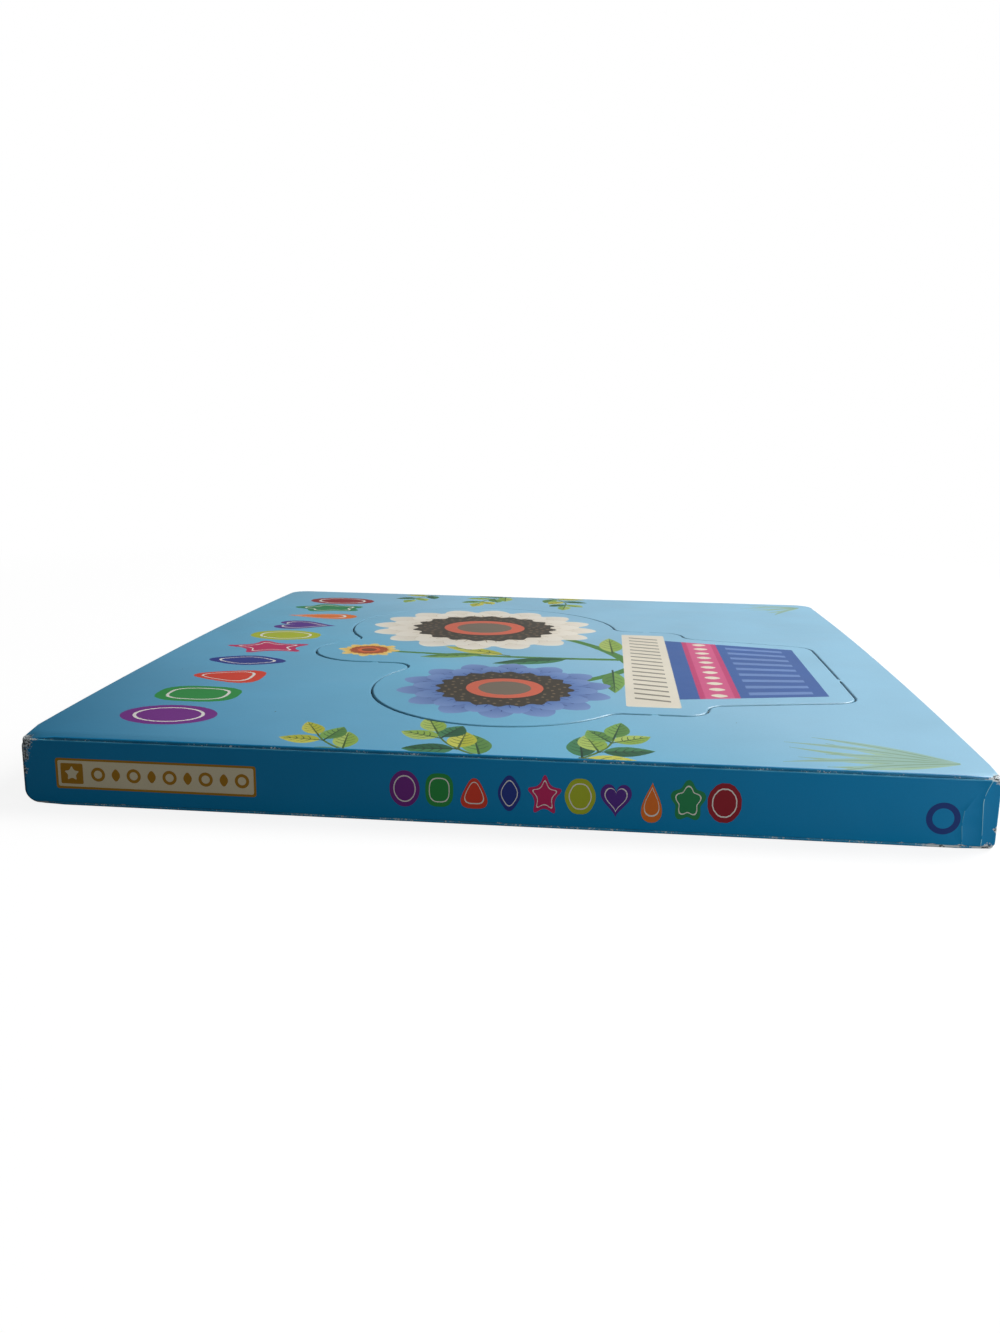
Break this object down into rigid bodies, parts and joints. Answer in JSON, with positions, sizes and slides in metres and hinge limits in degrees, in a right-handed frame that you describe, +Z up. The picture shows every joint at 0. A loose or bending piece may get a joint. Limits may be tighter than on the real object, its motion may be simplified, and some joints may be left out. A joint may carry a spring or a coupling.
{
  "type": "board book",
  "caption": "Closed children's board book with thick rounded leaves, hinged covers and a shaped press-out piece die-cut into the front cover.",
  "frame": {"origin": "middle of the underside of the closed book, on the surface that it lies on", "axes": "+X along the spine from head to tail, +Y from the spine to the fore-edge, +Z up through the front cover"},
  "size_m": [0.2, 0.208, 0.0176],
  "materials": {
    "printed_board": "gloss laminate",
    "printed_piece": "gloss laminate",
    "printed_spine": "gloss laminate",
    "leaves": "satin",
    "back_board": "gloss laminate"
  },
  "bodies": {
    "book": {"spine": "printed_spine", "page_block": "leaves"},
    "front": {"front_cover": "printed_board", "press_out_piece": "printed_piece"},
    "back": {"back_cover": "back_board"}
  },
  "joints": [
    {"name": "front_cover_fold", "type": "hinge", "parent": "book", "child": "front", "pos_m": [0, -0.10355, 0.01495], "axis": [1, 0, 0], "range_deg": [0, 180]},
    {"name": "back_cover_fold", "type": "hinge", "parent": "book", "child": "back", "pos_m": [0, -0.10355, 0.00045], "axis": [1, 0, 0], "range_deg": [-180, 0]}
  ]
}
